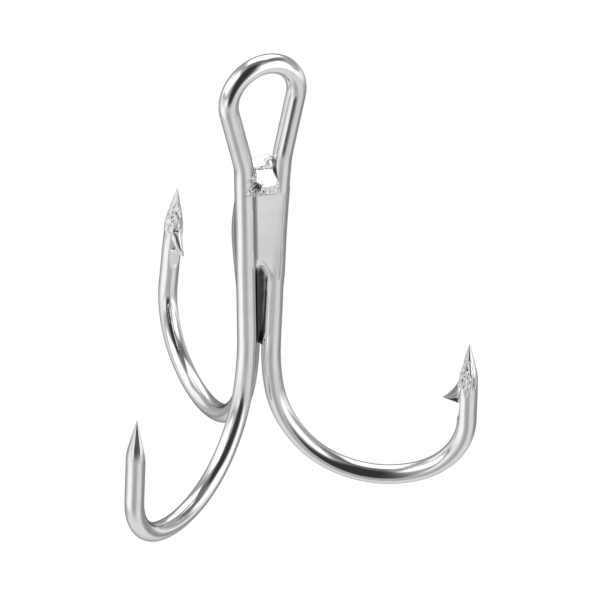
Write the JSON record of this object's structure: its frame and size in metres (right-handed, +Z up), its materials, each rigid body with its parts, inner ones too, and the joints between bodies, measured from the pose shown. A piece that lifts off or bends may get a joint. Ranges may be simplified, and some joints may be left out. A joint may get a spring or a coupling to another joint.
{
  "type": "treble hook",
  "caption": "Barbed treble fish hook in bright plated wire, with a teardrop eye and shanks brazed together.",
  "frame": {"origin": "centre of the eye", "axes": "+Z up from the bends to the eye, along the shanks; the eye spreads along X and is looked through along Y, with the lone hook on the +Y side"},
  "size_m": [0.0236, 0.0221, 0.032],
  "materials": {
    "plated_wire": "bright tin plate on drawn high-carbon steel wire",
    "plated_braze": "bright tin plate on brazing metal, smooth in the channel and wrinkled at the throat"
  },
  "bodies": {
    "root": {"double_hook": "plated_wire", "single_hook": "plated_wire", "shank_braze": "plated_braze", "throat_bead": "plated_braze"}
  },
  "joints": []
}
